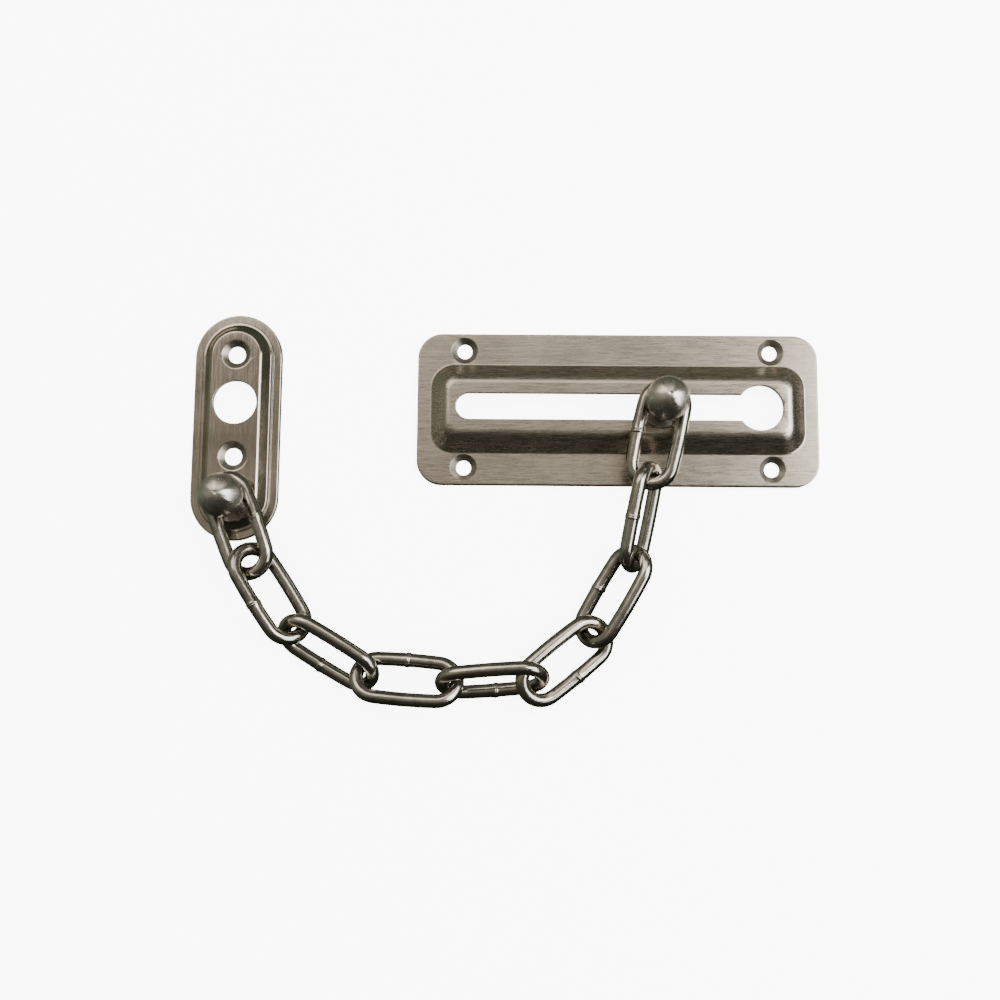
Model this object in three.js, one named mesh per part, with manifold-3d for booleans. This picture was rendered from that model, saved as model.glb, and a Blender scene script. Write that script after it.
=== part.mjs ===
// Door chain guard lying flat on its back: a slotted slide plate, an obround anchor plate and
// nine welded chain links between two ball-headed studs. +Z is the way both plates face.
import * as THREE from 'three';
import { mergeVertices } from 'three/addons/utils/BufferGeometryUtils.js';
import Module from 'manifold-3d';

const wasm = await Module();
wasm.setup();

// ---- driving dimensions, mm; x and y are measured from the centre of the slide plate ----
const SHEET = 1.5;                 // thickness of both pressed plates
const EDGE = 0.35;                 // eased front edge of the sheet
const SINK_FLAT = 0.3;             // straight part of a screw hole under its countersink

const SLIDE = { length: 105, width: 40.3, corner: 6.5 };
const CHANNEL = { baseLength: 98.2, baseWidth: 23.9, baseCorner: 6, topLength: 89.6,
  topWidth: 14.8, topCorner: 3, rise: 4.2 };
const SLOT = { width: 6.9, start: -38.75, keyX: 36.6, keyDia: 11.9 };
const SLIDE_SCREW = { dia: 3.9, sink: 7.0, spacingX: 80.4, spacingY: 31.1 };

const ANCHOR = { width: 22.9, length: 60, panelWidth: 18.1, panelLength: 55.2,
  topWidth: 13.1, topLength: 50.2, rise: 3.0, studY: -19.8 };
const ANCHOR_SCREW = { dia: 4.5, sink: 7.5, above: 18.7, below: -8.3 };
const KEEPER = { dia: 11.4, y: 6.0 };          // hole the slide's stud can be parked in

const STUD = { ball: 11.1, ballRise: 10.7, neck: 5.2, neckFrom: 1.2, shank: 4.4, head: 6.6 };
const COLLAR = { dia: 11.4, thick: 1.0 };
const FOOT = { dia: 11.0, thick: 1.6, sleeve: 5.9 };
const RIVET_GAP = 0.1;             // play between the shank and what is riveted on it
const SLIDE_STUD_X = 11.2;         // where the stud stands along the slot

const LINK = { wire: 3.6, bow: 5.2, straight: 15, bowSteps: 8, sides: 10 };
const WELD = { dia: 4.2, length: 1.9 };
// how the chain lies, anchor end first: centre x, y, z, heading, slope, roll, side of the weld
const LAY = [
  [-96.8, -32.0, 8.8, -69, 0, 14, 1],
  [-88.1, -49.0, 8.5, -57, -3, -36, -1],
  [-73.4, -63.7, 6.2, -31, -3, 44, -1],
  [-53.5, -70.2, 6.9, -4, 1, -26, 1],
  [-32.1, -70.1, 8.0, 5, 7, 60, -1],
  [-13.9, -65.2, 6.4, 39, -9, 16, -1],
  [-1.7, -48.9, 6.1, 60, 6, -41, 1],
  [5.3, -28.9, 7.5, 79, 6, 62, 1],
  [9.6, -7.9, 9.2, 78, 4, -9, 1],
];
const ANCHOR_STUD = [-99.9, -25.0];

// ---- shared shapes ----
// A three.js geometry as a solid that can be joined and cut.
function solid(geometry) {
  const bare = geometry.clone();
  bare.deleteAttribute('normal');
  bare.deleteAttribute('uv');
  const merged = mergeVertices(bare, 1e-4);
  const tris = [];
  for (let i = 0; i < merged.index.count; i += 3) {
    const [a, b, c] = [0, 1, 2].map((k) => merged.index.getX(i + k));
    if (a !== b && b !== c && c !== a) tris.push(a, b, c);
  }
  return new wasm.Manifold(new wasm.Mesh({
    numProp: 3,
    vertProperties: new Float32Array(merged.attributes.position.array),
    triVerts: new Uint32Array(tris),
  }));
}

function toMesh(name, body, material) {
  const shape = body.getMesh();
  const geometry = new THREE.BufferGeometry();
  geometry.setAttribute('position', new THREE.BufferAttribute(shape.vertProperties, 3));
  geometry.setIndex(new THREE.BufferAttribute(shape.triVerts, 1));
  geometry.computeVertexNormals();
  const mesh = new THREE.Mesh(geometry, material);
  mesh.name = name;
  return mesh;
}

// Counter-clockwise rounded rectangle; a corner of half the width gives an obround.
function outline(length, width, corner, steps = 6) {
  const points = [];
  for (let quarter = 0; quarter < 4; quarter += 1) {
    const cx = (length / 2 - corner) * (quarter === 0 || quarter === 3 ? 1 : -1);
    const cy = (width / 2 - corner) * (quarter < 2 ? 1 : -1);
    for (let i = 0; i <= steps; i += 1) {
      const angle = (quarter + i / steps) * Math.PI / 2;
      const point = new THREE.Vector2(cx + corner * Math.cos(angle), cy + corner * Math.sin(angle));
      if (!points.length || point.distanceTo(points[points.length - 1]) > 1e-6) points.push(point);
    }
  }
  return points;
}

// Closed body through a stack of outlines that all have the same number of points.
function loft(rings) {
  const count = rings[0].points.length;
  const position = [];
  const index = [];
  for (const { z, points } of rings) for (const p of points) position.push(p.x, p.y, z);
  for (let r = 0; r + 1 < rings.length; r += 1) {
    for (let i = 0; i < count; i += 1) {
      const a = r * count + i;
      const b = r * count + (i + 1) % count;
      index.push(a, b, b + count, a, b + count, a + count);
    }
  }
  const low = position.length / 3;
  position.push(0, 0, rings[0].z, 0, 0, rings[rings.length - 1].z);
  const last = (rings.length - 1) * count;
  for (let i = 0; i < count; i += 1) {
    index.push(low, (i + 1) % count, i, low + 1, last + i, last + (i + 1) % count);
  }
  const geometry = new THREE.BufferGeometry();
  geometry.setAttribute('position', new THREE.Float32BufferAttribute(position, 3));
  geometry.setIndex(index);
  return solid(geometry);
}

// Body turned about the Z axis from a profile of [radius, z] pairs.
function turned(profile, segments = 28) {
  const points = profile.map(([radius, z]) => new THREE.Vector2(radius, z));
  return solid(new THREE.LatheGeometry(points, segments).rotateX(Math.PI / 2));
}

function drill(dia, x, y, segments = 28) {
  return turned([[0, -1], [dia / 2, -1], [dia / 2, 20], [0, 20]], segments).translate(x, y, 0);
}

// Cutter for a countersunk screw hole whose sheet has its front face at z = top.
function countersink({ dia, sink }, x, y, top) {
  const seat = top - SHEET + SINK_FLAT;
  const past = 0.5 * (sink - dia) / 2 / (SHEET - SINK_FLAT);
  return turned([[0, -1], [dia / 2, -1], [dia / 2, seat], [sink / 2, top],
    [sink / 2 + past, top + 0.5], [0, top + 0.5]], 24).translate(x, y, 0);
}

// Flat sheet with an eased front edge.
function sheet(length, width, corner) {
  return loft([
    { z: 0, points: outline(length, width, corner) },
    { z: SHEET - EDGE, points: outline(length, width, corner) },
    { z: SHEET, points: outline(length - 2 * EDGE, width - 2 * EDGE, corner - EDGE) },
  ]);
}

// Raised field pressed out of a sheet, with rounded shoulders; lift moves it down for the hollow.
function field(base, top, rise, lift) {
  const at = (share) => outline(...base.map((size, i) => size + (top[i] - size) * share));
  const z = SHEET + lift;
  return loft([
    { z: Math.min(0.4, z) - 1.2, points: at(0) },
    { z, points: at(0) },
    { z: z + rise * 0.84, points: at(0.8) },
    { z: z + rise * 0.96, points: at(0.95) },
    { z: z + rise, points: at(1.1) },
  ]);
}

// ---- pieces ----
function slidePlate() {
  const base = [CHANNEL.baseLength, CHANNEL.baseWidth, CHANNEL.baseCorner];
  const top = [CHANNEL.topLength, CHANNEL.topWidth, CHANNEL.topCorner];
  const slotLength = SLOT.keyX - SLOT.start + SLOT.width;
  const slot = loft([-1, 12].map((z) => ({
    z, points: outline(slotLength, SLOT.width, SLOT.width / 2),
  }))).translate((SLOT.keyX + SLOT.start) / 2, 0, 0);
  let plate = sheet(SLIDE.length, SLIDE.width, SLIDE.corner)
    .add(field(base, top, CHANNEL.rise, 0))
    .subtract(field(base, top, CHANNEL.rise, -SHEET))
    .subtract(slot)
    .subtract(drill(SLOT.keyDia, SLOT.keyX, 0));
  for (const sx of [-1, 1]) {
    for (const sy of [-1, 1]) {
      plate = plate.subtract(countersink(SLIDE_SCREW, sx * SLIDE_SCREW.spacingX / 2,
        sy * SLIDE_SCREW.spacingY / 2, SHEET));
    }
  }
  return plate;
}

function anchorPlate() {
  const base = [ANCHOR.panelWidth, ANCHOR.panelLength, ANCHOR.panelWidth / 2];
  const top = [ANCHOR.topWidth, ANCHOR.topLength, ANCHOR.topWidth / 2];
  let plate = sheet(ANCHOR.width, ANCHOR.length, ANCHOR.width / 2)
    .add(field(base, top, ANCHOR.rise, 0))
    .subtract(field(base, top, ANCHOR.rise, -SHEET))
    .subtract(drill(KEEPER.dia, 0, KEEPER.y))
    .subtract(drill(STUD.shank + 2 * RIVET_GAP, 0, ANCHOR.studY, 24));
  for (const y of [ANCHOR_SCREW.above, ANCHOR_SCREW.below]) {
    plate = plate.subtract(countersink(ANCHOR_SCREW, 0, y, SHEET + ANCHOR.rise));
  }
  return plate;
}

// Ball, neck and shank turned in one piece; z = 0 is the face the collar stands on.
function ballStud(tailEnd) {
  const radius = STUD.ball / 2;
  const neck = STUD.neck / 2;
  const from = Math.PI - Math.asin(neck / radius);
  const profile = [[0, tailEnd], [STUD.head / 2 - 0.7, tailEnd], [STUD.head / 2, tailEnd + 0.4],
    [STUD.head / 2, tailEnd + 0.7], [STUD.shank / 2, tailEnd + 0.7],
    [STUD.shank / 2, STUD.neckFrom], [neck, STUD.neckFrom]];
  const rings = 10;
  for (let i = 0; i < rings; i += 1) {
    const angle = from * (1 - i / rings);
    profile.push([radius * Math.sin(angle), STUD.ballRise + radius * Math.cos(angle)]);
  }
  profile.push([0, STUD.ballRise + radius]);
  return turned(profile);
}

function washer(outer, from, to) {
  const hole = STUD.shank / 2 + RIVET_GAP;
  return turned([[hole, from], [outer - 0.25, from], [outer, from + 0.25], [outer, to - 0.25],
    [outer - 0.25, to], [hole, to], [hole, from]]);
}

// Disc that runs behind the slot, with the sleeve that guides it between the slot's edges.
function slideFoot() {
  const hole = STUD.shank / 2 + RIVET_GAP;
  const under = -SHEET - 0.3;
  return turned([[hole, under - FOOT.thick], [FOOT.dia / 2, under - FOOT.thick],
    [FOOT.dia / 2, under], [FOOT.sleeve / 2, under], [FOOT.sleeve / 2, 0.1], [hole, 0.1],
    [hole, under - FOOT.thick]]);
}

// Centre line of a link: half circle, straight, half circle, straight.
class LinkLine extends THREE.Curve {
  place(t) {
    const steps = LINK.bowSteps;
    const s = (t * (2 * steps + 2)) % (2 * steps + 2);
    const end = LINK.straight / 2;
    if (s <= steps) return { x: end, angle: Math.PI * (s / steps - 0.5) };
    if (s < steps + 1) return { x: end - (s - steps) * LINK.straight, angle: Math.PI / 2 };
    if (s <= 2 * steps + 1) return { x: -end, angle: Math.PI * ((s - 1) / steps - 0.5) };
    return { x: -end + (s - 2 * steps - 1) * LINK.straight, angle: -Math.PI / 2 };
  }

  getPointAt(t) {
    const { x, angle } = this.place(t);
    return new THREE.Vector3(x + LINK.bow * Math.cos(angle), LINK.bow * Math.sin(angle), 0);
  }

  getTangentAt(t) {
    const { angle } = this.place(t);
    return new THREE.Vector3(-Math.sin(angle), Math.cos(angle), 0);
  }
}

function chainLink(side) {
  const loop = new THREE.TubeGeometry(new LinkLine(), 2 * LINK.bowSteps + 2, LINK.wire / 2,
    LINK.sides, true);
  const half = WELD.length / 2;
  const bead = turned([[0, -half], [LINK.wire / 2 - 0.1, -half], [WELD.dia / 2, -half / 3],
    [WELD.dia / 2, half / 3], [LINK.wire / 2 - 0.1, half], [0, half]], LINK.sides);
  return solid(loop).add(bead.rotate([0, 90, 0]).translate(0, side * LINK.bow, 0));
}

// ---- assembly ----
const steel = new THREE.MeshStandardMaterial({ color: 0xa69a90, roughness: 0.35, metalness: 0.9 });
const bright = new THREE.MeshStandardMaterial({ color: 0xb4aca6, roughness: 0.2, metalness: 1 });
const group = new THREE.Group();

function put(name, body, material, x = 0, y = 0, z = 0) {
  const mesh = toMesh(name, body, material);
  mesh.position.set(x, y, z);
  group.add(mesh);
  return mesh;
}

const slideTop = SHEET + CHANNEL.rise;
const anchorTop = SHEET + ANCHOR.rise;
const [anchorX, anchorY] = ANCHOR_STUD;
put('slide_plate', slidePlate(), steel);
put('slide_ball_stud', ballStud(-SHEET - FOOT.thick - 1.1), bright, SLIDE_STUD_X, 0, slideTop);
put('slide_stud_collar', washer(COLLAR.dia / 2, 0.1, 0.1 + COLLAR.thick), bright,
  SLIDE_STUD_X, 0, slideTop);
put('slide_stud_foot', slideFoot(), steel, SLIDE_STUD_X, 0, slideTop);
put('anchor_plate', anchorPlate(), steel, anchorX, anchorY - ANCHOR.studY);
put('anchor_ball_stud', ballStud(-SHEET - 0.8), bright, anchorX, anchorY, anchorTop);
put('anchor_stud_collar', washer(COLLAR.dia / 2, 0.1, 0.1 + COLLAR.thick), bright,
  anchorX, anchorY, anchorTop);
LAY.forEach(([x, y, z, heading, slope, roll, side], i) => {
  const mesh = put(`chain_link_${i + 1}`, chainLink(side), bright, x, y, z);
  const [h, s, r] = [heading, -slope, roll].map(THREE.MathUtils.degToRad);
  mesh.rotation.set(r, s, h, 'ZYX');
});

// origin at the bottom centre of the whole
const box = new THREE.Box3().setFromObject(group, true);
const middle = box.getCenter(new THREE.Vector3());
for (const mesh of group.children) mesh.position.sub(new THREE.Vector3(middle.x, middle.y, box.min.z));

export default group;
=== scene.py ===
import math
import random

import bpy
from mathutils import Matrix, Vector
from mathutils.geometry import delaunay_2d_cdt


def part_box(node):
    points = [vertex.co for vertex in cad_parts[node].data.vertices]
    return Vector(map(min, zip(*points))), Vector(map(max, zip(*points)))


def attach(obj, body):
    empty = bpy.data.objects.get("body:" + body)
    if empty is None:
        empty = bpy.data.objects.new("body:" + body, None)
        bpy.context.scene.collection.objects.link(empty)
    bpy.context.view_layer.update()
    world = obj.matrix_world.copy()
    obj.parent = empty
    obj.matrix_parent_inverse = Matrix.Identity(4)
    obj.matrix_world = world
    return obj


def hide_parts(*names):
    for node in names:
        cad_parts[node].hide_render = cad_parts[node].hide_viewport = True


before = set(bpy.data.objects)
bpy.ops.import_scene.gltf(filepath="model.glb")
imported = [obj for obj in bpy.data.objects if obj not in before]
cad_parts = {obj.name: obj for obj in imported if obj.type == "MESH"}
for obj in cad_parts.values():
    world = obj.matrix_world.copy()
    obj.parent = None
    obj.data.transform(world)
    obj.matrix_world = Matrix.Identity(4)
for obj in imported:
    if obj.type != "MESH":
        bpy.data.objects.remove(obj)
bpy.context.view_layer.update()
MM = 0.001
UV_SCALE = 8

# ---- sizes in millimetres, as in the CAD model ----
SHEET = 1.5
EDGE_ROUND = 0.42
EDGE_STEPS = 5
HOLE_EDGE = 0.12
SINK_FLAT = 0.3
THINNEST = 0.1
SLIDE = dict(length=105.0, width=40.3, corner=6.5)
CHANNEL = dict(base=(98.2, 23.9, 6.0), top=(89.6, 14.8, 3.0), rise=4.2, foot=0.07, shoulder=0.3)
SLOT = dict(width=6.9, start=-38.75, key_x=36.6, key_dia=11.9)
SLIDE_SCREW = dict(dia=3.9, sink=7.0, lip=0.04, spacing=(80.4, 31.1))
ANCHOR = dict(width=22.9, length=60.0, top_inset=4.9, rise=3.0)
BEAD = dict(inset=2.0, rise=0.32, run=0.3, flat=0.75)
ANCHOR_SLOPE = dict(foot=0.07, shoulder=0.26)
ANCHOR_SCREW = dict(dia=4.5, sink=7.5, lip=0.3, at=(18.7, -8.3))
KEEPER = dict(dia=11.4, y=6.0)
BALL, BALL_RISE, NECK, SHANK, HEAD = 11.1, 10.7, 5.2, 4.4, 6.6
NECK_FROM, COLLAR_DIA, COLLAR_FROM, COLLAR_THICK = 1.2, 11.4, 0.1, 1.0
FOOT_DIA, FOOT_THICK, SLEEVE_DIA, FOOT_DROP = 11.0, 1.6, 5.9, 0.3
SLEEVE_TOP, RIM = 0.1, 0.3
RIVET_GAP = 0.1
SLIDE_TAIL, ANCHOR_TAIL = 1.1, 0.8  # how far the riveted heads stand past what they hold
HEAD_ROUND, HEAD_THICK, CHAMFER = 0.5, 0.7, 0.1
WIRE, BOW, STRAIGHT = 3.5, 5.2, 15.0
WELD = dict(rise=0.29, zone=1.4, reach=2.2, finer=8, ring=0.46, ring_edge=0.055, swell=1.1,
            seam_at=0.12, seam=0.1)
LINK_SIDES = 28
LINK_WAIST, LINK_EASE = 0.04, 3.2  # how much the bows draw in, and the lean of the sides there
SIDE_STEPS, BOW_STEPS = 14, 34

# how the chain lies, anchor end first: centre, heading, slope, roll, side of the weld
LAY = (
    ((-96.8, -32.0, 8.8), -69, 0, 14, 1),
    ((-88.1, -49.0, 8.5), -57, -3, -36, -1),
    ((-73.4, -63.7, 6.2), -31, -3, 44, -1),
    ((-53.5, -70.2, 6.9), -4, 1, -26, 1),
    ((-32.1, -70.1, 8.0), 5, 7, 60, -1),
    ((-13.9, -65.2, 6.4), 39, -9, 16, -1),
    ((-1.7, -48.9, 6.1), 60, 6, -41, 1),
    ((5.3, -28.9, 7.5), 79, 6, 62, 1),
    ((9.6, -7.9, 9.2), 78, 4, -9, 1),
)


def middle(node):
    """Middle of a CAD node's box in millimetres."""
    low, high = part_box(node)
    return (Vector(low) + Vector(high)) / 2 / MM


SLIDE_AT = middle("slide_plate")
ANCHOR_AT = middle("anchor_plate")
SLIDE_STUD_AT = middle("slide_stud_collar")
ANCHOR_STUD_AT = middle("anchor_stud_collar")
STUD_HOLE = SHANK / 2 + RIVET_GAP
SLIDE_TOP = SHEET + CHANNEL["rise"]
ANCHOR_TOP = SHEET + ANCHOR["rise"]


# ---- meshes ----
def new_object(name, verts, own, faces, material, smooth_angle=32):
    """Object from points in millimetres, smooth apart from its sharp edges.

    own holds the same points in the piece's own frame, where its noise is fixed.
    """
    mesh = bpy.data.meshes.new(name)
    mesh.from_pydata([Vector(v) * MM for v in verts], [], faces)
    kept = mesh.attributes.new("own", "FLOAT_VECTOR", "POINT")
    for item, v in zip(kept.data, own):
        item.vector = Vector(v) * MM
    mesh.validate()
    mesh.shade_smooth()
    mesh.set_sharp_from_angle(angle=math.radians(smooth_angle))
    mesh.materials.append(material)
    flat = mesh.uv_layers.new(name="flat")
    for loop in mesh.loops:
        co = mesh.vertices[loop.vertex_index].co
        flat.data[loop.index].uv = (co.x * UV_SCALE, co.y * UV_SCALE)
    obj = bpy.data.objects.new(name, mesh)
    bpy.context.scene.collection.objects.link(obj)
    even = obj.modifiers.new("even_normals", "WEIGHTED_NORMAL")
    even.keep_sharp = True
    return obj


def finish_piece(obj, body, slot, *nodes):
    """Put a piece on its CAD body, in place of its CAD nodes; slot is not used."""
    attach(obj, body)
    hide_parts(*nodes)


def rounded(length, width, corner, steps=14):
    """Counter-clockwise rounded rectangle, or an obround where the corner is half a side."""
    points = []
    for quarter in range(4):
        cx = (length / 2 - corner) * (1 if quarter in (0, 3) else -1)
        cy = (width / 2 - corner) * (1 if quarter < 2 else -1)
        for i in range(steps + 1):
            a = (quarter + i / steps) * math.pi / 2
            p = (cx + corner * math.cos(a), cy + corner * math.sin(a))
            if not points or math.dist(p, points[-1]) > 1e-4:
                points.append(p)
    return points


def circle(x, y, radius, steps=48):
    """Counter-clockwise circle."""
    turn = [2 * math.pi * i / steps for i in range(steps)]
    return [(x + radius * math.cos(a), y + radius * math.sin(a)) for a in turn]


def slot_line(grow):
    """Outline of the slot and its keyhole, grown outwards."""
    half, key = SLOT["width"] / 2 + grow, SLOT["key_dia"] / 2 + grow
    reach = math.asin(half / key)
    points = []
    for i in range(25):
        a = math.pi / 2 + math.pi * i / 24
        points.append((SLOT["start"] + half * math.cos(a), half * math.sin(a)))
    for i in range(57):
        a = -math.pi + reach + (2 * math.pi - 2 * reach) * i / 56
        points.append((SLOT["key_x"] + key * math.cos(a), key * math.sin(a)))
    return points


def pressed(share, foot, shoulder):
    """Height of a pressed slope, 0 to 1, with a soft foot inside its base and a soft shoulder."""
    if share <= 2 * foot:
        return max(0.0, share) ** 2 / (4 * foot * (1 - foot))
    if share >= 1 - shoulder:
        rest = max(0.0, 1 + shoulder - share)
        return 1 - rest ** 2 / (4 * shoulder * (1 - foot))
    return (share - foot) / (1 - foot)


def capsule(p, x0, x1, radius):
    """Distance outside a slot along X with round ends."""
    return math.dist(p, (min(max(p[0], x0), x1), 0)) - radius


def box_distance(p, length, width, corner):
    """Distance outside a rounded rectangle about the origin."""
    dx, dy = abs(p[0]) - length / 2 + corner, abs(p[1]) - width / 2 + corner
    return math.hypot(max(dx, 0), max(dy, 0)) + min(max(dx, dy), 0) - corner


def roll_over(distance, radius):
    """How far a face drops towards an edge that is this far away."""
    if distance >= radius:
        return 0.0
    return radius - math.sqrt(max(0.0, radius ** 2 - (radius - distance) ** 2))


def edge_steps(radius, beyond):
    """Offsets from an edge for the rings that round it over, and one ring just beyond."""
    for k in range(EDGE_STEPS + 1):
        yield radius * (1 - math.cos(math.pi / 10 * k)) + (0.0 if k < EDGE_STEPS else beyond)


def blend(base, top, share):
    return [b + (t - b) * share for b, t in zip(base, top)]


class Pressing:
    """A pressed sheet: its outline, the height of its field, and the holes cut through it."""

    def __init__(self, outline, lift):
        self.outline, self.lift = outline, lift
        self.flat, self.edges, self.cuts, self.drops, self.sinks = [], [], [], [], []
        for inset in edge_steps(EDGE_ROUND, 0.02):
            self.ring(rounded(*self.inset(inset)))

    def inset(self, inset):
        length, width, corner = self.outline
        return length - 2 * inset, width - 2 * inset, corner - inset

    def ring(self, points):
        start, count = len(self.flat), len(points)
        self.flat += [Vector(p) for p in points]
        self.edges += [(start + i, start + (i + 1) % count) for i in range(count)]

    def screw_hole(self, x, y, dia, sink, lip):
        """Countersunk hole with a soft lip."""
        inner, outer = dia / 2, sink / 2
        for radius in (inner, inner + 0.12, inner + 0.4, outer - 0.45, outer - 0.2, outer - 0.07,
                       outer, outer + lip * 0.5, outer + lip):
            self.ring(circle(x, y, radius))
        depth = SHEET - SINK_FLAT
        soft = (lip * 1.3 + 0.03) / (outer - inner)

        def drop(p):
            run = (outer - math.dist(p, (x, y))) / (outer - inner)
            if run >= soft:
                return depth * run
            return depth * max(0.0, run + soft) ** 2 / (4 * soft)

        self.drops.append(drop)
        self.sinks.append((Vector((x, y)), outer))
        self.cuts.append(lambda p: math.dist(p, (x, y)) - inner)

    def hole(self, outline_at, distance, edge=HOLE_EDGE):
        """Plain hole: its outline grown by a distance, and the distance of a point outside it."""
        for grow in edge_steps(edge, 0.01):
            self.ring(outline_at(grow))
        if edge:
            self.drops.append(lambda p: roll_over(distance(p), edge))
        self.cuts.append(distance)

    def heights(self, p):
        """Height of the front and of the back at a point."""
        lift = self.lift(p)
        drop = roll_over(-box_distance(p, *self.outline), EDGE_ROUND)
        drop = max([drop] + [d(p) for d in self.drops])
        return SHEET + lift - min(drop, SHEET - THINNEST), lift

    def build(self, name, at, material):
        """The sheet as an object: front, back and rims, with the holes cut out."""
        flat, _, faces, _, _, _ = delaunay_2d_cdt(self.flat, self.edges, [], 0, 1e-6)
        count = len(flat)
        heights = [self.heights(p) for p in flat]
        kept, cones = [], []
        for f in faces:
            mid = sum((flat[i] for i in f), Vector((0, 0))) / len(f)
            if all(cut(mid) > 0 for cut in self.cuts):
                if any((mid - centre).length < reach for centre, reach in self.sinks):
                    cones.append(len(kept))
                kept.append(tuple(f))
        sides = set()
        for f in kept:
            sides.update(zip(f, f[1:] + f[:1]))
        own = [(p.x, p.y, h[face]) for face in (0, 1) for p, h in zip(flat, heights)]
        solid = list(kept)
        solid += [tuple(i + count for i in reversed(f)) for f in kept]
        rims = sorted((a, b) for a, b in sides if (b, a) not in sides)
        solid += [(b, a, a + count, b + count) for a, b in rims]
        walls = {len(solid) - len(rims) + k for k, (a, b) in enumerate(rims)
                 if box_distance(flat[a], *self.outline) < -0.1}
        used = sorted({i for f in solid for i in f})
        renumber = {old: new for new, old in enumerate(used)}
        own = [own[i] for i in used]
        solid = [tuple(renumber[i] for i in f) for f in solid]
        verts = [(at.x + x, at.y + y, z) for x, y, z in own]
        obj = new_object(name, verts, own, solid, material)
        # hole walls get the bare sheared edge; countersink cones get a rougher cut finish whose
        # darker colour is painted shade in their hollows
        for index, (finish_and_shade, picked) in enumerate(((SHEARED, walls), (SHADED_SINK, cones)), 1):
            obj.data.materials.append(finish_and_shade)
            for k in picked:
                obj.data.polygons[k].material_index = index
        return obj


def turned(name, at, profile, material, segments=72):
    """Body turned about Z from (radius, height) pairs that start and end on the axis or close."""
    closed = profile[0] == profile[-1]
    rings = profile[:-1] if closed else profile
    verts, rows = [], []
    for radius, z in rings:
        if radius < 1e-6:
            rows.append([len(verts)] * segments)
            verts.append((at.x, at.y, at.z + z))
            continue
        rows.append(list(range(len(verts), len(verts) + segments)))
        for i in range(segments):
            a = 2 * math.pi * i / segments
            verts.append((at.x + radius * math.cos(a), at.y + radius * math.sin(a), at.z + z))
    faces = []
    for low, high in zip(rows, rows[1:] + (rows[:1] if closed else [])):
        for i in range(segments):
            j = (i + 1) % segments
            quad = [low[i], low[j], high[j], high[i]]
            face = [v for k, v in enumerate(quad) if v != quad[k - 1]]
            if len(face) > 2:
                faces.append(tuple(face))
    own = [(x - at.x, y - at.y, z - at.z) for x, y, z in verts]
    obj = new_object(name, own, own, faces, material)
    obj.location = at * MM
    return obj


def arc(cx, cz, radius, start, end, steps):
    """Points of an arc in a turned profile, in degrees."""
    for i in range(steps + 1):
        a = math.radians(start + (end - start) * i / steps)
        yield (cx + radius * math.cos(a), cz + radius * math.sin(a))


def ball_stud(name, at, tail, material):
    """Ball, neck and shank in one turning; at is the face that the collar stands on."""
    ball, neck, shank, head = BALL / 2, NECK / 2, SHANK / 2, HEAD / 2
    under = math.degrees(math.acos(neck / ball))
    profile = [(0, tail)]
    profile += list(arc(head - HEAD_ROUND, tail + HEAD_ROUND, HEAD_ROUND, -90, 0, 5))
    profile += [(head, tail + HEAD_THICK), (shank, tail + HEAD_THICK), (shank, NECK_FROM)]
    profile += [(neck - CHAMFER, NECK_FROM), (neck, NECK_FROM + CHAMFER)]
    profile += list(arc(0, BALL_RISE, ball, -under, 84, 40))
    # the turning centre left on the crown of the ball
    profile += [(0.5, BALL_RISE + ball - 0.035), (0.42, BALL_RISE + ball - 0.075)]
    profile += [(0.2, BALL_RISE + ball - 0.1), (0, BALL_RISE + ball - 0.11)]
    return turned(name, at, profile, material)


def disc(name, at, outer, low, high, bore, material):
    """Round disc with rounded rims; bore lists its points from the top inwards and down."""
    profile = [(STUD_HOLE, low)]
    profile += list(arc(outer - RIM, low + RIM, RIM, -90, 0, 4))
    profile += list(arc(outer - RIM, high - RIM, RIM, 0, 90, 4))
    profile += bore + [(STUD_HOLE, low)]
    return turned(name, at, profile, material)


def collar(name, at, material):
    """Washer that the link lies on."""
    high = COLLAR_FROM + COLLAR_THICK
    return disc(name, at, COLLAR_DIA / 2, COLLAR_FROM, high, [(STUD_HOLE, high)], material)


def slide_foot(name, at, material):
    """Disc behind the slot, with a short sleeve that guides it."""
    high, sleeve = -SHEET - FOOT_DROP, SLEEVE_DIA / 2
    bore = [(sleeve, high), (sleeve, SLEEVE_TOP), (STUD_HOLE, SLEEVE_TOP)]
    return disc(name, at, FOOT_DIA / 2, high - FOOT_THICK, high, bore, material)


def link_line():
    """Half of a link's centre line, from the middle of one side round the bow: point and way."""
    bow, ease = BOW - LINK_WAIST, math.radians(LINK_EASE)
    middle_x = STRAIGHT / 2 + LINK_WAIST
    end_x, end_y = middle_x + bow * math.sin(ease), -bow * math.cos(ease)
    side = []
    for i in range(SIDE_STEPS):
        t = i / SIDE_STEPS
        lean = ease * t
        side.append((end_x * t, end_y - math.tan(ease) * end_x * (1 - t * t) / 2, lean))
    for i in range(BOW_STEPS):
        a = ease + (math.pi - 2 * ease) * i / BOW_STEPS
        side.append((middle_x + bow * math.sin(a), -bow * math.cos(a), a))
    return side


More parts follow.
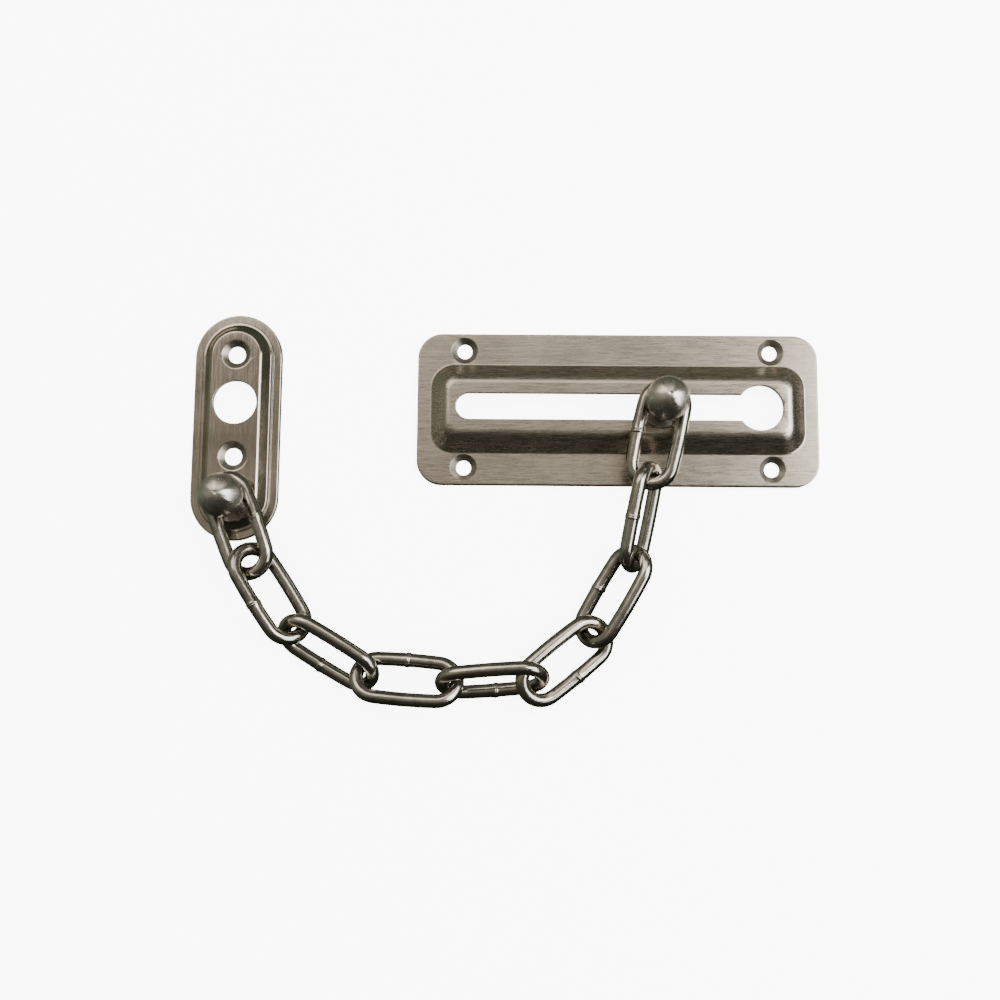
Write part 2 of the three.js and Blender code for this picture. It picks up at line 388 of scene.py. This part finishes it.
def chain_link(name, place, side, seed, material):
    """Welded link: long axis X, flat in XY, weld on the +Y or -Y side, then put in its place."""
    rand = random.Random(seed)
    half = link_line()
    end_x = half[SIDE_STEPS][0]
    line = half + [(x, -y, math.pi - a) for x, y, a in half[SIDE_STEPS:0:-1]]
    line += [(-x, -y, a + math.pi) for x, y, a in line]
    weld_x = rand.uniform(-0.5, 0.5)
    fine = []  # the line again, with closer stations by the weld
    for (x, y, a), (x2, y2, a2) in zip(line, line[1:] + [(line[0][0], line[0][1], 2 * math.pi)]):
        fine.append((x, y, a))
        near_weld = min(abs(x - weld_x), abs(x2 - weld_x)) < WELD["zone"]
        if y * side > 0 and near_weld and abs(x) < end_x:
            for k in range(1, WELD["finer"]):
                fine.append(tuple(u + (v - u) * k / WELD["finer"]
                                  for u, v in zip((x, y, a), (x2, y2, a2))))
    lean = rand.uniform(0.12, 0.3) * rand.choice((-1, 1))
    skew = rand.uniform(-0.08, 0.08)
    fat = rand.uniform(0.85, 1.0)
    own, faces = [], []
    for x, y, a in fine:
        on_side = y * side > 0 and abs(x - weld_x) < WELD["reach"]
        for k in range(LINK_SIDES):
            b = 2 * math.pi * k / LINK_SIDES
            radius = WIRE / 2
            if on_side:
                # the upset ring of the weld, with a seam on one flank
                run = x - weld_x - lean * math.cos(b) - skew * math.sin(b)
                ring = 1 / (1 + math.exp((abs(run) - WELD["ring"]) / WELD["ring_edge"]))
                swell = math.exp(-((run / WELD["swell"]) ** 2))
                seam = math.exp(-(((run - WELD["seam_at"]) / WELD["seam"]) ** 2))
                uneven = 0.8 + 0.2 * math.sin(2 * b + seed) * math.cos(b * 3 + seed * 2)
                radius += WELD["rise"] * fat * uneven * (0.62 * ring + 0.3 * swell - 0.42 * seam)
            out = radius * math.cos(b)
            own.append((x + out * math.sin(a), y - out * math.cos(a), radius * math.sin(b)))
    count = len(fine)
    for i in range(count):
        for k in range(LINK_SIDES):
            a, b = i * LINK_SIDES, ((i + 1) % count) * LINK_SIDES
            m = (k + 1) % LINK_SIDES
            faces.append((a + k, b + k, b + m, a + m))
    verts = [tuple(place @ Vector(v)) for v in own]
    obj = new_object(name, verts, own, faces, material, smooth_angle=70)
    obj.modifiers.remove(obj.modifiers["even_normals"])
    return obj


# ---- materials ----
def shader(name):
    mat = bpy.data.materials.new(name)
    mat.use_nodes = True
    nodes, links = mat.node_tree.nodes, mat.node_tree.links
    return mat, nodes, links, nodes["Principled BSDF"]


def noise_at(nodes, links, scale, detail=4.0, rough=0.55, offset=(0, 0, 0)):
    """Noise fixed to the piece, with its own scale along each axis (cycles per metre)."""
    coord = nodes.new("ShaderNodeAttribute")
    coord.attribute_name = "own"
    mapping = nodes.new("ShaderNodeMapping")
    mapping.inputs["Scale"].default_value = scale
    mapping.inputs["Location"].default_value = offset
    tex = nodes.new("ShaderNodeTexNoise")
    tex.inputs["Scale"].default_value = 1.0
    tex.inputs["Detail"].default_value = detail
    tex.inputs["Roughness"].default_value = rough
    links.new(coord.outputs["Vector"], mapping.inputs["Vector"])
    links.new(mapping.outputs["Vector"], tex.inputs["Vector"])
    return tex.outputs["Fac"]


def ranged(nodes, links, value, low, high, start=0.3, end=0.7):
    node = nodes.new("ShaderNodeMapRange")
    node.inputs["From Min"].default_value = start
    node.inputs["From Max"].default_value = end
    node.inputs["To Min"].default_value = low
    node.inputs["To Max"].default_value = high
    links.new(value, node.inputs["Value"])
    return node.outputs["Result"]


def product(nodes, links, a, b, kind="MULTIPLY"):
    """Product of two values, or another Math operation; b may be a plain number."""
    node = nodes.new("ShaderNodeMath")
    node.operation = kind
    links.new(a, node.inputs[0])
    if isinstance(b, float):
        node.inputs[1].default_value = b
    else:
        links.new(b, node.inputs[1])
    return node.outputs["Value"]


def between(nodes, links, value, dark, light, start=0.3, end=0.7):
    ramp = nodes.new("ShaderNodeValToRGB")
    ramp.color_ramp.elements[0].position = start
    ramp.color_ramp.elements[0].color = (*dark, 1)
    ramp.color_ramp.elements[1].position = end
    ramp.color_ramp.elements[1].color = (*light, 1)
    links.new(value, ramp.inputs["Fac"])
    return ramp.outputs["Color"]


def bumped(nodes, links, bsdf, height, strength, distance):
    bump = nodes.new("ShaderNodeBump")
    bump.inputs["Strength"].default_value = strength
    bump.inputs["Distance"].default_value = distance
    links.new(height, bump.inputs["Height"])
    links.new(bump.outputs["Normal"], bsdf.inputs["Normal"])


def mixed(nodes, links, *parts):
    """Weighted sum of values: (value, weight) pairs."""
    total = None
    for value, weight in parts:
        share = product(nodes, links, value, weight)
        total = share if total is None else product(nodes, links, total, share, "ADD")
    return total


def plate_metal(name, along, grain, dark, light, rough, bump, anisotropy):
    """Satin sheet, brushed along X or Y, with broad soft clouding."""
    mat, nodes, links, bsdf = shader(name)

    def axes(low, high):
        return (low, high, high) if along == "X" else (high, low, high)

    fine = noise_at(nodes, links, axes(110, 4200), 3, 0.5)
    long = noise_at(nodes, links, axes(30, 2100), 2, 0.5, (3, 1, 0))
    fleck = noise_at(nodes, links, axes(240, 3400), 3, 0.55, (9, 4, 1))
    cloud = noise_at(nodes, links, (55, 80, 55), 3, 0.5, (0, 7, 2))
    lines = mixed(nodes, links, (fine, 0.40), (long, 0.16), (fleck, 0.44))
    tone = mixed(nodes, links, (lines, grain), (cloud, 1 - grain))
    links.new(between(nodes, links, tone, dark, light, 0.43, 0.57), bsdf.inputs["Base Color"])
    links.new(ranged(nodes, links, lines, *rough, 0.42, 0.58), bsdf.inputs["Roughness"])
    bsdf.inputs["Metallic"].default_value = 1.0
    bsdf.inputs["Anisotropic"].default_value = anisotropy
    bsdf.inputs["Anisotropic Rotation"].default_value = 0.25 if along == "X" else 0.0
    tangent = nodes.new("ShaderNodeTangent")
    tangent.direction_type = "UV_MAP"
    tangent.uv_map = "flat"
    links.new(tangent.outputs["Tangent"], bsdf.inputs["Tangent"])
    bumped(nodes, links, bsdf, lines, bump, 0.00006)
    return mat


def polished(name, dark, light, rough, grain, bump, turned_round=0.0):
    """Bright turned or tumbled metal with fine handling marks."""
    mat, nodes, links, bsdf = shader(name)
    cloud = noise_at(nodes, links, (260, 260, 260), 4, 0.6)
    fine = noise_at(nodes, links, grain, 4, 0.6, (5, 0, 3))
    spots = noise_at(nodes, links, (1300, 1300, 1300), 3, 0.6, (1, 8, 4))
    tone = mixed(nodes, links, (cloud, 0.6), (fine, 0.25), (spots, 0.15))
    links.new(between(nodes, links, tone, dark, light, 0.38, 0.62), bsdf.inputs["Base Color"])
    marks = mixed(nodes, links, (fine, 0.7), (spots, 0.3))
    links.new(ranged(nodes, links, marks, *rough, 0.36, 0.64), bsdf.inputs["Roughness"])
    bsdf.inputs["Metallic"].default_value = 1.0
    if turned_round:
        bsdf.inputs["Anisotropic"].default_value = turned_round
        bsdf.inputs["Anisotropic Rotation"].default_value = 0.25
        tangent = nodes.new("ShaderNodeTangent")
        tangent.direction_type = "RADIAL"
        tangent.axis = "Z"
        links.new(tangent.outputs["Tangent"], bsdf.inputs["Tangent"])
    bumped(nodes, links, bsdf, marks, bump, 0.00005)
    return mat


PLATE = plate_metal("brushed_plate", "X", 0.75, (0.40, 0.36, 0.305), (0.53, 0.48, 0.41),
                    (0.25, 0.33), 0.3, 0.5)
ANCHOR_METAL = plate_metal("brushed_anchor", "Y", 0.4, (0.37, 0.335, 0.285), (0.49, 0.44, 0.375),
                           (0.15, 0.22), 0.15, 0.3)
STUD = polished("polished_stud", (0.48, 0.455, 0.41), (0.64, 0.605, 0.55), (0.22, 0.28),
                (500, 500, 500), 0.03, 0.9)
CHAIN = polished("chain_wire", (0.31, 0.293, 0.255), (0.52, 0.49, 0.435), (0.14, 0.22),
                 (350, 2400, 2400), 0.22)


def sheared_edge():
    """Bare grey break of the sheet on the walls of its holes."""
    mat, nodes, links, bsdf = shader("sheared_edge")
    marks = noise_at(nodes, links, (1500, 1500, 300), 3, 0.6)
    links.new(between(nodes, links, marks, (0.60, 0.57, 0.52), (0.76, 0.72, 0.66)),
              bsdf.inputs["Base Color"])
    links.new(ranged(nodes, links, marks, 0.4, 0.55), bsdf.inputs["Roughness"])
    bsdf.inputs["Metallic"].default_value = 0.4
    bumped(nodes, links, bsdf, marks, 0.3, 0.00004)
    return mat


SHEARED = sheared_edge()
# rougher cut finish for the countersink cones, darker than the plate: the dark colour is painted
# shade for the hollow of each cone
SHADED_SINK = polished("cut_sink_painted_shade", (0.27, 0.25, 0.215), (0.42, 0.39, 0.34), (0.30, 0.42),
                (900, 900, 900), 0.25)


# ---- the two plates ----
def slide_lift(p):
    """Height of the channel: flat outside its base, flat on top, a soft slope between."""
    if box_distance(p, *CHANNEL["base"]) >= 0:
        return 0.0
    low, high = 0.0, 1.0 + CHANNEL["shoulder"]
    if box_distance(p, *blend(CHANNEL["base"], CHANNEL["top"], high)) <= 0:
        return CHANNEL["rise"]
    for _ in range(22):
        share = (low + high) / 2
        if box_distance(p, *blend(CHANNEL["base"], CHANNEL["top"], share)) > 0:
            high = share
        else:
            low = share
    return CHANNEL["rise"] * pressed(low, CHANNEL["foot"], CHANNEL["shoulder"])


def slot_distance(p):
    return min(capsule(p, SLOT["start"], SLOT["key_x"], SLOT["width"] / 2),
               math.dist(p, (SLOT["key_x"], 0)) - SLOT["key_dia"] / 2)


slide = Pressing((SLIDE["length"], SLIDE["width"], SLIDE["corner"]), slide_lift)
shares = [2 * CHANNEL["foot"] * k / 6 for k in range(7)]
shares += [0.3, 0.45, 0.6]
shares += [1 + CHANNEL["shoulder"] * (k / 4 - 1) for k in range(9)]
for share in shares:
    slide.ring(rounded(*blend(CHANNEL["base"], CHANNEL["top"], share)))
for sx in (-1, 1):
    for sy in (-1, 1):
        slide.screw_hole(sx * SLIDE_SCREW["spacing"][0] / 2, sy * SLIDE_SCREW["spacing"][1] / 2,
                         SLIDE_SCREW["dia"], SLIDE_SCREW["sink"], SLIDE_SCREW["lip"])
slide.hole(slot_line, slot_distance)
finish_piece(slide.build("SlidePlate", SLIDE_AT, PLATE), "slide_plate", "brushed_plate",
             "slide_plate")


def anchor_lift(p):
    """A fine bead round the flange, then the slope up to the panel."""
    inside = -box_distance(p, *anchor_outline)
    step = min(max((inside - BEAD["inset"]) / BEAD["run"], 0), 1)
    bead = BEAD["rise"] * step * step * (3 - 2 * step)
    slope = pressed((inside - slope_from) / slope_run, ANCHOR_SLOPE["foot"],
                    ANCHOR_SLOPE["shoulder"])
    return bead + (ANCHOR["rise"] - BEAD["rise"]) * slope


anchor_outline = (ANCHOR["width"], ANCHOR["length"], ANCHOR["width"] / 2)
slope_from = BEAD["inset"] + BEAD["flat"]
slope_run = ANCHOR["top_inset"] - slope_from
anchor = Pressing(anchor_outline, anchor_lift)
insets = [BEAD["inset"] + BEAD["run"] * k / 6 for k in range(7)]
insets += [slope_from + slope_run * (2 * ANCHOR_SLOPE["foot"]) * k / 4 for k in range(5)]
insets += [slope_from + slope_run * share for share in (0.3, 0.45)]
insets += [ANCHOR["top_inset"] + slope_run * ANCHOR_SLOPE["shoulder"] * (k / 5 - 1)
           for k in range(11)]
for inset in insets:
    anchor.ring(rounded(*anchor.inset(inset), 22))
for y in ANCHOR_SCREW["at"]:
    anchor.screw_hole(0, y, ANCHOR_SCREW["dia"], ANCHOR_SCREW["sink"], ANCHOR_SCREW["lip"])
anchor.hole(lambda grow: circle(0, KEEPER["y"], KEEPER["dia"] / 2 + grow, 64),
            lambda p: math.dist(p, (0, KEEPER["y"])) - KEEPER["dia"] / 2)
stud_y = ANCHOR_STUD_AT.y - ANCHOR_AT.y
anchor.hole(lambda grow: circle(0, stud_y, STUD_HOLE + grow),
            lambda p: math.dist(p, (0, stud_y)) - STUD_HOLE, 0)
finish_piece(anchor.build("AnchorPlate", ANCHOR_AT, ANCHOR_METAL), "anchor", "brushed_plate",
             "anchor_plate")

# ---- studs ----
slide_face = Vector((SLIDE_STUD_AT.x, SLIDE_STUD_AT.y, SLIDE_TOP))
anchor_face = Vector((ANCHOR_STUD_AT.x, ANCHOR_STUD_AT.y, ANCHOR_TOP))
slide_tail = -SHEET - FOOT_THICK - SLIDE_TAIL
anchor_tail = -SHEET - ANCHOR_TAIL
for piece, body, node in (
    (ball_stud("SlideBallStud", slide_face, slide_tail, STUD), "slide_stud", "slide_ball_stud"),
    (collar("SlideCollar", slide_face, STUD), "slide_stud", "slide_stud_collar"),
    (slide_foot("SlideFoot", slide_face, STUD), "slide_stud", "slide_stud_foot"),
    (ball_stud("AnchorBallStud", anchor_face, anchor_tail, STUD), "anchor", "anchor_ball_stud"),
    (collar("AnchorCollar", anchor_face, STUD), "anchor", "anchor_stud_collar"),
):
    finish_piece(piece, body, "polished_stud", node)

# ---- chain ----
for number, (centre, heading, slope, roll, side) in enumerate(LAY, 1):
    turn = (Matrix.Rotation(math.radians(heading), 4, "Z")
            @ Matrix.Rotation(math.radians(-slope), 4, "Y")
            @ Matrix.Rotation(math.radians(roll), 4, "X"))
    at = Vector((SLIDE_AT.x + centre[0], SLIDE_AT.y + centre[1], centre[2]))
    link = chain_link(f"ChainLink{number}", Matrix.Translation(at) @ turn, side, number, CHAIN)
    finish_piece(link, f"link_{number}", "chain_wire", f"chain_link_{number}")


# ---- stage, light and camera ----
FLOOR_GLOW = 7.5
FLOOR_SIZE, FLOOR_Z = 8, -0.00005  # metres


def stage_plane(name, size, z, material):
    mesh = bpy.data.meshes.new(name)
    h = size / 2
    mesh.from_pydata([(-h, -h, z), (h, -h, z), (h, h, z), (-h, h, z)], [], [(0, 1, 2, 3)])
    mesh.materials.append(material)
    obj = bpy.data.objects.new(name, mesh)
    bpy.context.scene.collection.objects.link(obj)
    return obj


def pale_floor():
    """Near-white matt card that glows a little, so that only a trace of shadow is left."""
    mat, nodes, links, bsdf = shader("pale_floor")
    speck = noise_at(nodes, links, (700, 700, 700), 3)
    links.new(between(nodes, links, speck, (0.90, 0.90, 0.895), (0.93, 0.93, 0.925)),
              bsdf.inputs["Base Color"])
    bsdf.inputs["Roughness"].default_value = 0.9
    bsdf.inputs["Specular IOR Level"].default_value = 0.1
    bsdf.inputs["Emission Color"].default_value = (1.0, 1.0, 0.995, 1)
    bsdf.inputs["Emission Strength"].default_value = FLOOR_GLOW
    return mat


floor = stage_plane("floor", FLOOR_SIZE, FLOOR_Z, pale_floor())
# its glow would flood the metal
floor.visible_glossy = False
floor.visible_diffuse = False


def softbox(name, towards, distance, size, power, colour, shows=True):
    """Area light in the given direction from the guard's middle."""
    light = bpy.data.lights.new(name, "AREA")
    light.shape = "RECTANGLE"
    light.size, light.size_y = size
    light.energy = power
    light.color = colour
    obj = bpy.data.objects.new(name, light)
    bpy.context.scene.collection.objects.link(obj)
    way = Vector(towards).normalized()
    obj.location = way * distance
    obj.rotation_mode = "QUATERNION"
    obj.rotation_quaternion = way.to_track_quat("Z", "Y")
    obj.visible_glossy = shows
    return obj


# name, direction, distance, size, power, colour
for lamp in (
    ("top", (-0.08, 0.55, 0.83), 1.2, (1.1, 0.5), 3.2, (1.0, 0.93, 0.85)),
    ("upper_right", (0.51, 0.14, 0.85), 1.2, (0.5, 0.4), 6.4, (1.0, 0.99, 0.95)),
    ("right", (0.77, -0.05, 0.63), 0.9, (0.85, 0.38), 6.2, (1.0, 1.0, 0.98)),
    ("left_back", (-0.50, 0.56, 0.66), 0.9, (0.55, 0.45), 1.5, (1.0, 0.85, 0.78)),
):
    softbox(*lamp)
# whitens the floor and can't be seen in the metal
softbox("floor_wash", (0, 0, 1), 1.5, (2.5, 2.5), 60, (1.0, 1.0, 1.0), shows=False)

world = bpy.data.worlds.new("studio")
bpy.context.scene.world = world
world.use_nodes = True
wn, wl = world.node_tree.nodes, world.node_tree.links
direction = wn.new("ShaderNodeTexCoord")
split = wn.new("ShaderNodeSeparateXYZ")
wl.new(direction.outputs["Generated"], split.inputs["Vector"])
ramp = wn.new("ShaderNodeValToRGB")
wl.new(ranged(wn, wl, split.outputs["Z"], 0, 1, -1, 1), ramp.inputs["Fac"])
stops = [(0.0, (0.07, 0.082, 0.06)), (0.5, (0.105, 0.12, 0.088)), (0.66, (0.12, 0.13, 0.10)),
         (0.87, (0.24, 0.23, 0.19)), (0.95, (0.34, 0.315, 0.265)), (1.0, (0.45, 0.41, 0.345))]
for position, _ in stops[1:-1]:
    ramp.color_ramp.elements.new(position)
for element, (position, colour) in zip(ramp.color_ramp.elements, stops):
    element.position = position
    element.color = (*colour, 1)
wl.new(ramp.outputs["Color"], wn["Background"].inputs["Color"])
# the near side of the room, behind the camera's feet, is darker, and the left side lighter
near = ranged(wn, wl, split.outputs["Y"], 0.26, 1.0, -0.45, 0.1)
left = ranged(wn, wl, split.outputs["X"], 2.3, 1.0, -0.9, -0.3)
wl.new(product(wn, wl, near, left), wn["Background"].inputs["Strength"])

# the camera: near overhead, a little below and left of the slide plate
CAMERA_FROM_PLATE = Vector((-27.6, -60.9, 297.7))
SENSOR, LENS = 36, 41.4
TILT, YAW, ROLL = (math.radians(a) for a in (-7.09, -0.57, -0.445))
to_camera = (Matrix.Rotation(ROLL, 3, "Z") @ Matrix.Rotation(YAW, 3, "Y")
             @ Matrix.Rotation(TILT, 3, "X"))
camera = bpy.data.objects.new("camera", bpy.data.cameras.new("camera"))
bpy.context.scene.collection.objects.link(camera)
camera.data.sensor_width = SENSOR
camera.data.lens = LENS
plate_mid = Vector((SLIDE_AT.x, SLIDE_AT.y, 0))
camera.matrix_world = (Matrix.Translation((plate_mid + CAMERA_FROM_PLATE) * MM)
                       @ to_camera.transposed().to_4x4())
camera.data.clip_start = 0.01
bpy.context.scene.camera = camera

bpy.context.view_layer.update()
